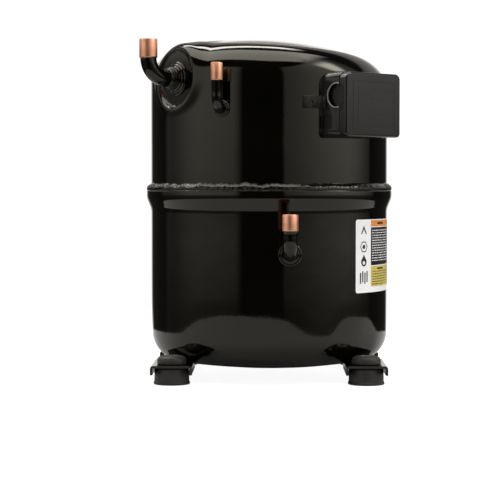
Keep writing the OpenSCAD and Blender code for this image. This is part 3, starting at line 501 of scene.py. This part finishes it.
def build_girth_weld():
    """A weld bead with ripples that fade on its right-hand run."""
    columns, rows = 900, 12
    low, high = BELL_RIM_Z - 0.4, span("girth_weld")[1].z
    points = []

    def uneven(x, y, scale, seed):
        return noise.noise(Vector((x * scale, y * scale, seed)))

    for i in range(rows):
        s = i / (rows - 1)
        for k in range(columns):
            t = 2 * math.pi * k / columns
            x, y = math.sin(t), -math.cos(t)
            calm = 0.35 if 0.1 < t < 1.2 else 1.0
            ripple = uneven(x, y, 34, 0.3) * 0.9 + uneven(x, y, 80, 4) * 0.5
            edge = uneven(x, y, 9, 2.0) * 1.3 + uneven(x, y, 30, 7) * 0.8
            top = high - 1.5 + min(1.45, edge * calm * 1.2)
            bulge = math.sin(math.pi * s) ** 0.7
            r = SHELL_R + (BELL_R - SHELL_R - 0.8) * (1 - s) + bulge * (2.0 + ripple * calm * 1.5)
            points.append((min(r, BELL_R - 0.1) * x, min(r, BELL_R - 0.1) * y, low + (top - low) * s))
    for r, z in ((SHELL_R - 0.5, BELL_RIM_Z + 4), (SHELL_R - 0.5, BELL_RIM_Z)):
        for k in range(columns):
            t = 2 * math.pi * k / columns
            points.append((r * math.sin(t), -r * math.cos(t), z))
    faces = grid_faces(rows + 2, columns, closed_rows=True)
    piece("girth_weld_bead", points, faces, WELD_PAINT, "shell", ["girth_weld"], sharp=70)


# ---- Refrigerant stubs ----

def pipe(rings, place, sides=48):
    """Rings of (reach, height, tangent angle, radius) swept in a vertical plane; both ends are capped."""
    points = []
    for n, z, tilt, r in rings:
        across, up = -math.sin(tilt), math.cos(tilt)
        for k in range(sides):
            t = 2 * math.pi * k / sides
            m = r * math.cos(t)
            points.append(place @ Vector((r * math.sin(t), -(n + across * m), z + up * m)))
    faces = grid_faces(len(rings), sides)
    faces.append(tuple(reversed(range(sides))))
    faces.append(tuple(range((len(rings) - 1) * sides, len(rings) * sides)))
    return points, faces


def bend_rings(start_n, reach, z, bend, top_z, r, paint_edge=0.35):
    up = math.pi / 2
    rings = [(start_n, z, 0.0, r)]
    for i in range(21):
        t = up * i / 20
        rings.append((reach - bend + bend * math.sin(t), z + bend * (1 - math.cos(t)), t, r))
    return rings + [(reach, top_z - 0.6, up, r), (reach, top_z, up, r + paint_edge)]


def socket_rings(reach, low_z, top_z, tube_r, bore_r, out_r):
    """The swaged socket: up its outside, over the rim and down its bore."""
    up = math.pi / 2
    stops = [(low_z, tube_r), (low_z, out_r - 0.5), (low_z + 0.5, out_r), (low_z + 1.2, out_r),
             (low_z + 1.8, out_r), (low_z + 6, out_r), (top_z - 0.5, out_r), (top_z, out_r - 0.35),
             (top_z, bore_r + 0.25), (top_z - 0.4, bore_r), (low_z + 3, bore_r),
             (low_z + 2.2, bore_r - 1.0)]
    return [(reach, z, up, r) for z, r in stops]


def build_stub(name, node, azimuth, side_x, start_n, reach, z, bend, socket_l, tube_r, bore_r,
               out_r):
    top_z = span(node)[1].z
    place = Matrix.Rotation(azimuth, 4, "Z") @ Matrix.Translation((side_x, 0, 0))
    low_z = top_z - socket_l
    points, faces = pipe(bend_rings(start_n, reach, z, bend, low_z + 0.2, tube_r), place)
    piece(name + "_painted_bend", points, faces, PAINT, "shell", [node], sharp=50)
    points, faces = pipe(socket_rings(reach, low_z, top_z, tube_r - 0.4, bore_r, out_r), place)
    piece(name + "_copper_socket", points, faces, COPPER, "shell", [node], sharp=50)


def boss(name, node, place, section):
    points, faces = revolve(rounded(section, closed=False, r=0.6), 96, closed=False, place=place)
    piece(name, points, faces, PAINT, "shell", [node], sharp=60)


def build_ports():
    build_stub("suction", "suction_tube", SUCTION_AZ, side_x=0, start_n=104, reach=149.6,
               z=SUCTION_Z, bend=19.2, socket_l=18.4, tube_r=7.95, bore_r=8.0, out_r=8.93)
    build_stub("process", "process_tube", PROCESS_AZ, side_x=0, start_n=106, reach=134,
               z=PROCESS_Z, bend=12, socket_l=17, tube_r=5, bore_r=4.82, out_r=5.77)
    build_stub("discharge", "discharge_tube", 0, side_x=DISCHARGE_X, start_n=104, reach=144.5,
               z=DISCHARGE_Z, bend=17, socket_l=15.7, tube_r=7.1, bore_r=6.4, out_r=7.85)
    boss("suction_boss_rings", "suction_boss", outward(SUCTION_AZ, SUCTION_Z, PAD_FACE_N),
         [(17.4, -1.5), (17.0, 1.6), (15.6, 2.5), (15.2, 1.9), (14.4, 3.4), (13.0, 4.2),
          (12.5, 3.6), (11.6, 5.0), (9.9, 5.4), (9.8, 7.0), (11.3, 7.3), (11.3, 8.6), (10.3, 8.8),
          (10.3, 9.5), (11.0, 9.8), (10.9, 10.9), (9.9, 11.2), (9.8, 12.0), (9.2, 13.2),
          (7.8, 13.3)])
    boss("process_boss_ring", "process_boss", outward(PROCESS_AZ, PROCESS_Z, SHELL_R),
         [(8.3, -2.0), (8.2, 1.2), (7.2, 2.2), (6.4, 1.9), (6.0, 3.0), (4.9, 3.1)])
    place = Matrix.Translation((DISCHARGE_X, 0, 0)) @ outward(0, DISCHARGE_Z, SHELL_R)
    boss("discharge_boss_ring", "discharge_boss", place,
         [(11.7, -4.0), (11.6, 2.6), (10.4, 3.6), (9.4, 3.2), (8.8, 5.0), (7.0, 5.3)])


# ---- Terminal box ----

def box_ring(w, h, radii, inset, n, steps=7):
    """A round-cornered outline, corners from the upper right counter-clockwise."""
    w2, h2 = w / 2 - inset, h / 2 - inset
    out = []
    corners = ((w2, h2, 0), (-w2, h2, 90), (-w2, -h2, 180), (w2, -h2, 270))
    for (x, y, start), radius in zip(corners, radii):
        r = max(0.4, radius - inset)
        cx, cy = x - math.copysign(r, x), y - math.copysign(r, y)
        out += [(px, py, n) for px, py in arc(cx, cy, r, start, start + 90, steps)]
    return out


def shell_of_rings(rings, place):
    """A closed surface through the rings, with flat ends."""
    points = [place @ Vector(p) for ring in rings for p in ring]
    count = len(rings[0])
    faces = grid_faces(len(rings), count)
    faces.append(tuple(reversed(range(count))))
    faces.append(tuple(range((len(rings) - 1) * count, len(rings) * count)))
    return points, faces


def cutter(points, faces):
    mesh = bpy.data.meshes.new("cutter")
    mesh.from_pydata([tuple(Vector(p) * MM) for p in points], [], faces)
    face_outward(mesh)
    obj = bpy.data.objects.new("cutter", mesh)
    bpy.context.scene.collection.objects.link(obj)
    return obj


def carve(obj, tools):
    """Takes the tools away from the piece and removes them."""
    for tool in tools:
        mod = obj.modifiers.new("carve", "BOOLEAN")
        mod.operation = "DIFFERENCE"
        mod.solver = "EXACT"
        mod.object = tool
    bpy.context.view_layer.update()
    made = bpy.data.meshes.new_from_object(obj.evaluated_get(bpy.context.evaluated_depsgraph_get()))
    obj.modifiers.clear()
    old = obj.data
    obj.data = made
    bpy.data.meshes.remove(old)
    for tool in tools:
        bpy.data.objects.remove(tool)
    made.shade_smooth()
    made.set_sharp_from_angle(angle=math.radians(40))


def disc(r, x0, x1, place, steps=72):
    """A solid disc along local X of the box's left wall."""
    points, faces = revolve([(r, x0), (r, x1)], steps, closed=False)
    turn = Matrix.Rotation(math.pi / 2, 4, "Y")
    faces = faces + [tuple(reversed(range(steps))), tuple(range(steps, 2 * steps))]
    return [place @ (turn @ p) for p in points], faces


def block(lo, hi, place):
    """A plain solid between two corners."""
    points = [place @ Vector((x, y, z))
              for z in (lo[2], hi[2]) for y in (lo[1], hi[1]) for x in (lo[0], hi[0])]
    faces = [(0, 2, 3, 1), (4, 5, 7, 6), (0, 1, 5, 4), (2, 6, 7, 3), (0, 4, 6, 2), (1, 3, 7, 5)]
    return points, faces


def build_terminal_box():
    """The open base against the shell and the cover over it, with the conduit's rim and blank."""
    place = outward(BOX_AZ, BOX_Z, 0)
    left_wall = (Matrix.Rotation(BOX_AZ, 4, "Z")
                 @ Matrix.Translation((-BOX_W / 2, -CONDUIT_N, CONDUIT_Z)))
    wall = 2.0
    back_n = 96.0
    base_corners = (5, 7, 6, 4)
    rim_n = COVER_EDGE_N - 0.1
    stops = ((wall, back_n + 1), (wall, rim_n), (0.4, rim_n), (0.15, rim_n - 0.3), (0.15, back_n))
    rings = [box_ring(BOX_W, BOX_H, base_corners, inset, n) for inset, n in stops]
    points, faces = shell_of_rings(rings, place)
    base = piece("box_base", points, faces, BASE_PLASTIC_AND_EDGE_SHADE, "shell", ["terminal_box_base"],
                 sharp=40)
    shell_core = cutter(*join([revolve_solid(SHELL_R - 0.3, 200, 345)]))
    hole = cutter(*disc(CONDUIT_R, -6, 6, left_wall))
    latch = cutter(*block((-BOX_W / 2 - 1, -22.5, 116.5), (-BOX_W / 2 + 1.1, -10.5, 129), place))
    opened = cutter(*block((-BOX_W / 2 + 6, -BOX_H / 2 + 6, back_n - 3),
                           (BOX_W / 2 - 6, BOX_H / 2 - 6, back_n + 4), place))
    carve(base, [shell_core, hole, latch, opened])

    cover_corners = (6, 9, 5, 4)
    face_n = BOX_FACE_N - 0.45
    edge = 2.4
    stops = ((wall + 0.2, face_n - wall), (wall + 0.2, COVER_EDGE_N + 0.3),
             (0.3, COVER_EDGE_N + 0.3), (0.0, COVER_EDGE_N + 0.6))
    rings = [box_ring(BOX_W, BOX_H, cover_corners, inset, n) for inset, n in stops]
    for i in range(8):
        t = math.pi / 2 * i / 7
        rings.append(box_ring(BOX_W, BOX_H, cover_corners, edge * (1 - math.cos(t)) + 0.001 * i,
                              face_n - edge + edge * math.sin(t)))
    points, faces = shell_of_rings(rings, place)
    around, last = len(rings[0]), len(faces) - 1
    # The cover's skirt and most of its rounded edge take the darker, glossier base plastic: partly a gloss
    # change, partly a painted dark outline where the edges fall into shade. Only the face and the last steps
    # of the rounding are satin.
    satin_from = 9 * around
    looks = [0 if satin_from <= i < len(rings) * around or i == last else 1 for i in range(last + 1)]
    cover = piece("box_cover", points, faces, BOX, "terminal_cover", ["terminal_box_cover"],
                  sharp=40, face_materials=looks, materials=[BOX, BASE_PLASTIC_AND_EDGE_SHADE])
    carve(cover, [cutter(*disc(CONDUIT_R, -6, 6, left_wall))])
    build_cover_relief(place, face_n)

    # The conduit rim is coloured pale grey as a painted highlight.
    rim = [(CONDUIT_R - 0.2, 0.6), (CONDUIT_R - 0.2, -0.5), (CONDUIT_R + 0.25, -0.7),
           (CONDUIT_R + 0.7, -0.5), (CONDUIT_R + 0.9, 0.6)]
    points, faces = revolve(rim, 96)
    turn = Matrix.Rotation(math.pi / 2, 4, "Y")
    points = [left_wall @ (turn @ p) for p in points]
    kept = {i for i, p in enumerate(points) if distance_out(p) < COVER_EDGE_N}
    faces = [f for f in faces if all(i in kept for i in f)]
    piece("conduit_rim", points, faces, RIM_PLASTIC_PAINTED_HIGHLIGHT, "shell", ["terminal_box_base"],
          sharp=40)
    points, faces = disc(CONDUIT_R - 0.4, 4.4, 6.0, left_wall)
    piece("knockout_disc", points, faces, DARK_PLASTIC, "shell", ["conduit_knockout"],
          sharp=40)


def distance_out(p):
    return p.x * math.sin(BOX_AZ) - p.y * math.cos(BOX_AZ)


def revolve_solid(r, z0, z1, steps=256):
    points, faces = revolve([(r, z0), (r, z1)], steps, closed=False)
    return points, faces + [tuple(reversed(range(steps))), tuple(range(steps, 2 * steps))]


def build_cover_relief(place, face_n):
    """A raised border and blank raised bars on the cover's face."""
    top = BOX_FACE_N - 0.02

    def bar(x0, x1, y0, y1, h=0.2):
        low, slope = face_n - 0.2, 0.35
        corners = [(x0, y0), (x1, y0), (x1, y1), (x0, y1)]
        inner = [(x0 + slope, y0 + slope), (x1 - slope, y0 + slope),
                 (x1 - slope, y1 - slope), (x0 + slope, y1 - slope)]
        pts = [place @ Vector((x, y, low)) for x, y in corners]
        pts += [place @ Vector((x, y, min(top, face_n + h))) for x, y in inner]
        return pts, [(4, 5, 6, 7)] + [(i, (i + 1) % 4, (i + 1) % 4 + 4, i + 4) for i in range(4)]

    w, h, b = 29.0, 23.0, 1.0
    parts = [bar(-w, w, h - b, h), bar(-w, w, -h, -h + b),
             bar(-w, -w + b, -h + b, h - b), bar(w - b, w, -h + b, h - b)]
    for i in range(4):
        y = 15.0 - 9.0 * i
        parts.append(bar(-4, 22, y - 1.1, y + 1.1, 0.15))
    parts.append(bar(-22, -12, -17, 17, 0.15))
    points, faces = join(parts)
    piece("box_cover_relief", points, faces, BOX, "terminal_cover", ["terminal_box_cover"],
          sharp=20)


# ---- Label ----

def on_label(u, v, lift):
    """A place on the label: u along its arc and v up it, in millimetres."""
    t = LABEL_AZ + u / SHELL_R
    r = SHELL_R + lift
    return (r * math.sin(t), -r * math.cos(t), LABEL_Z + v)


def build_label():
    """A white film with blocks of colour, blank rules and simple shapes in place of its printing."""
    width, height = LABEL_SPAN * SHELL_R, LABEL_H
    points, faces, looks = [], [], []

    def patch(u0, u1, v0, v1, look, lift=0.27):
        steps = max(1, int((u1 - u0) / 2))
        base = len(points)
        for v in (v0, v1):
            for i in range(steps + 1):
                points.append(on_label(u0 + (u1 - u0) * i / steps, v, lift))
        for i in range(steps):
            faces.append((base + i, base + i + 1, base + steps + 2 + i, base + steps + 1 + i))
            looks.append(look)

    def shape(outline, look, lift=0.28):
        base = len(points)
        points.extend(on_label(u, v, lift) for u, v in outline)
        faces.append(tuple(range(base, base + len(outline))))
        looks.append(look)

    r = 2.5
    steps = 60
    columns = [width * i / steps for i in range(steps + 1)]

    def trim(u):
        near = min(u, width - u)
        return 0.0 if near >= r else r - math.sqrt(max(0.0, r * r - (r - near) ** 2))

    corner = [r * i / 6 for i in range(7)]
    fine = sorted(set(columns + corner + [width - r * i / 6 for i in range(7)]))
    for lift in (0.02, 0.22):
        for low in (True, False):
            points.extend(on_label(u, trim(u) if low else height - trim(u), lift) for u in fine)
    count = len(fine)
    for i in range(count - 1):
        a, b, c, d = (k * count + i for k in range(4))
        faces.append((c, c + 1, d + 1, d))
        faces.append((a, c, c + 1, a + 1))
        faces.append((b, b + 1, d + 1, d))
        looks.extend([0, 0, 0])

    column = 25.0
    foot = 5.6
    patch(column, width - 2, height - 7.2, height - 0.8, 1)
    patch(column, width - 2, 26.8, height - 8.0, 3)
    patch(column, width - 2, foot, 26.0, 2)
    line = random.Random(3)
    for section, look in (((29.0, height - 11.0), 0), ((7.6, 20.5), 3)):
        v = section[1]
        while v > section[0]:
            u = column + 2.5
            while u < width - 8:
                run = line.uniform(1.6, 5.5)
                patch(u, min(u + run, width - 5), v - 0.5, v + 0.35, look, 0.28)
                u += run + line.uniform(0.8, 1.4)
            v -= 2.5
    patch(column + 14, column + 30, height - 5.0, height - 3.0, 3, 0.29)
    patch(column + 14, column + 30, 22.4, 24.2, 3, 0.29)

    middle = column / 2

    def round_shape(cx, cy, r_out, sides, turn=0.0):
        turns = [turn + 2 * math.pi * k / sides for k in range(sides)]
        return [(cx + r_out * math.cos(t), cy + r_out * math.sin(t)) for t in turns]

    shape(round_shape(middle, 61, 5.6, 3, math.pi / 2), 3)
    shape(round_shape(middle, 60.4, 2.6, 3, math.pi / 2), 0, 0.29)
    shape(round_shape(middle, 45.5, 6.0, 6), 3)
    shape(round_shape(middle, 45.5, 4.8, 6), 0, 0.29)
    shape(round_shape(middle, 45.5, 2.2, 20), 3, 0.295)
    shape(round_shape(middle, 30.5, 4.4, 24), 3)
    shape([(middle - 3.6, 32.8), (middle + 3.6, 32.8), (middle, 38)], 3)
    shape(round_shape(middle, 29.6, 1.9, 20), 0, 0.29)
    for i in range(4):
        left, low = middle - 6.4 + i * 3.6, 9 + (i % 2) * 1.5
        patch(left, middle - 4.4 + i * 3.6, low, 20 + (i % 2) * 1.5, 3, 0.28)
    piece("label_film", points, faces, WHITE_FILM_PAINTED_GLOW, "shell", ["data_label"], sharp=50,
          face_materials=looks, materials=[WHITE_FILM_PAINTED_GLOW, ORANGE_INK, YELLOW_INK, BLACK_INK])


# ---- Feet ----

def build_grommets():
    """Four rubber mounts, each with a groove where its bracket sits."""
    groove_z = FOOT_TOP_Z - 2.3
    section = [(5.6, 0.0), (17.3, 0.0), (17.9, 0.7), (17.9, 2.2), (17.2, 3.2), (17.0, groove_z - 2.4),
               (16.2, groove_z - 1.0), (12.2, groove_z), (12.2, FOOT_TOP_Z), (14.4, FOOT_TOP_Z + 0.2),
               (14.4, GROMMET_TOP_Z - 4.4), (13.4, GROMMET_TOP_Z - 1.6), (10.0, GROMMET_TOP_Z - 0.2),
               (5.6, GROMMET_TOP_Z - 0.1)]
    parts = []
    for x in (-FOOT_XY, FOOT_XY):
        for y in (-FOOT_XY, FOOT_XY):
            parts.append(revolve(rounded(section, r=0.8), 96, place=Matrix.Translation((x, y, 0))))
    points, faces = join(parts)
    piece("rubber_grommets", points, faces, RUBBER, "shell", ["foot_grommets"],
          sharp=50)


# ---- Strap beside the box ----

def build_strap():
    """The CAD strap with soft edges."""
    mesh = frame["nodes"]["box_strap"].data
    turn = frame["nodes"]["box_strap"].matrix_world
    loose = bmesh.new()
    loose.from_mesh(mesh)
    bmesh.ops.transform(loose, matrix=turn, verts=loose.verts)
    bmesh.ops.remove_doubles(loose, verts=loose.verts, dist=1e-6)
    bmesh.ops.dissolve_limit(loose, angle_limit=0.02, verts=loose.verts, edges=loose.edges)
    sharp = [e for e in loose.edges if len(e.link_faces) == 2 and e.calc_face_angle(0) > 0.5]
    bmesh.ops.bevel(loose, geom=sharp, offset=0.35 * MM, segments=3, profile=0.5, affect="EDGES")
    points = [tuple(v.co / MM) for v in loose.verts]
    faces = [tuple(v.index for v in f.verts) for f in loose.faces]
    loose.free()
    piece("strap_plate", points, faces, STRAP_PAINT, "shell", ["box_strap"], sharp=50)


# ---- Studio ----

def build_world():
    """Soft boxes left and right, an overhead bank and a pale backdrop, by direction in degrees."""
    world = bpy.data.worlds.new("studio")
    world.use_nodes = True
    bpy.context.scene.world = world
    g = Graph(world.node_tree)
    way = g.node("ShaderNodeSeparateXYZ", {0: g.node("ShaderNodeTexCoord").outputs["Generated"]}).outputs
    degrees = 180 / math.pi
    azimuth = g.times(g.math("ARCTAN2", way[0], g.times(way[1], -1.0)), degrees)
    rise = g.times(g.math("ARCSINE", way[2]), degrees)
    turned = g.math("ABSOLUTE", azimuth)

    low_edge = g.ramp(rise, -6.5, 3.5, 0.15, 1.0)
    left = g.times(g.band(azimuth, -117, -29, 5.0), g.ramp(azimuth, -110, -70, 0.2, 0.92),
                   g.ramp(azimuth, -60, -25, 1.0, 0.8), g.ramp(rise, 38, 27))
    slanted = g.add(rise, g.times(azimuth, -0.4))
    right = g.times(g.band(azimuth, 14, 113, 2.0), g.ramp(azimuth, 5, 78, 0.4, 1.27),
                    g.ramp(azimuth, 78, 116, 1.0, 0.12), g.ramp(slanted, 37, 31))
    boxes = g.times(g.add(left, right), low_edge)
    backdrop = g.times(g.ramp(turned, 156, 167), g.ramp(rise, 20, 14), 0.8)
    # A place on a ceiling one unit up: right of the middle, and behind it.
    height = g.math("MAXIMUM", way[2], 0.05)
    right_of, behind = g.math("DIVIDE", way[0], height), g.math("DIVIDE", way[1], height)
    bow = g.math("SQRT", g.add(g.times(right_of, right_of), 0.03))
    bent = g.add(behind, g.times(bow, -0.5), 0.06)
    overhead = g.times(g.band(bent, -0.57, 0.2, 0.04),
                       g.band(right_of, -1.5, 0.5, 0.12), 3.5)
    strip = g.times(g.band(behind, 0.5, 0.7, 0.03), g.band(right_of, -0.75, 0.2, 0.1), 9.5)
    rear = g.times(g.ramp(behind, 0.9, 1.2), g.ramp(rise, 4, 12), 0.5)
    side_spot = g.times(g.band(right_of, 0.75, 1.5, 0.15),
                        g.band(behind, -0.35, 0.05, 0.12), 7.0)
    level = g.add(0.03, boxes, backdrop, overhead, strip, rear, side_spot)
    lit = g.node("ShaderNodeBackground", {"Color": (1.04, 1.0, 0.955, 1), "Strength": level})
    seen = g.node("ShaderNodeBackground", {"Color": (1, 1, 1, 1), "Strength": 1.12})
    camera_ray = g.node("ShaderNodeLightPath").outputs["Is Camera Ray"]
    shaders = {0: camera_ray, 1: lit.outputs[0], 2: seen.outputs[0]}
    mixed = g.node("ShaderNodeMixShader", shaders).outputs[0]
    world.node_tree.links.new(mixed, world.node_tree.nodes["World Output"].inputs[0])


def build_floor():
    """A round pale table top. It glows evenly to the camera; the glow that reflections see is weaker under
    the part, a painted shadow.
    """
    reach = 560
    turns = [math.tau * k / 128 for k in range(128)]
    points = [(reach * math.cos(t), reach * math.sin(t), 0) for t in turns]
    mesh = bpy.data.meshes.new("table_top")
    mesh.from_pydata([tuple(c * MM for c in p) for p in points], [], [tuple(range(128))])
    table = finish("pale_table", (0.25, 0.25, 0.25), 0.7, vary=0.01, patch=3, grain=300, bump=0.002)
    g = Graph(table.node_tree)
    place = g.node("ShaderNodeTexCoord").outputs["Object"]
    away = g.node("ShaderNodeVectorMath", {0: place}, operation="LENGTH")
    shader = table.node_tree.nodes["Principled BSDF"]
    # Painted shadow: the glow that reflections see fades to nothing towards the middle, under the part.
    reflected_painted_shadow = g.ramp(away.outputs["Value"], 0.05, 0.22, 0.0, 0.42)
    seen = g.node("ShaderNodeLightPath").outputs["Is Camera Ray"]
    elsewhere = g.times(g.math("SUBTRACT", 1.0, seen), reflected_painted_shadow)
    g.feed(shader.inputs["Emission Strength"], g.add(g.times(seen, 0.93), elsewhere))
    mesh.materials.append(table)
    obj = bpy.data.objects.new("table_top", mesh)
    bpy.context.scene.collection.objects.link(obj)


def build_camera():
    """A long lens, a little above the middle of the part, as in the photo."""
    camera = bpy.data.cameras.new("camera")
    camera.sensor_width = 36
    camera.lens = 125.6
    camera.clip_end = 50
    obj = bpy.data.objects.new("camera", camera)
    obj.location = (0, -1.8, 0.194)
    obj.rotation_euler = (math.radians(90 - 2.1), 0, math.radians(0.887))
    bpy.context.scene.collection.objects.link(obj)
    bpy.context.scene.camera = obj
    bpy.context.scene.view_settings.view_transform = "Standard"


for subpart in frame["record"]["subparts"]:
    mesh = frame["nodes"][subpart["node"]].data
    mesh.materials.clear()
    mesh.materials.append(SLOT_FINISH[subpart["material_slot"]])

build_upper_shell()
build_lower_shell()
build_girth_weld()
build_ports()
build_terminal_box()
build_label()
build_grommets()
build_strap()
build_world()
build_floor()
build_camera()
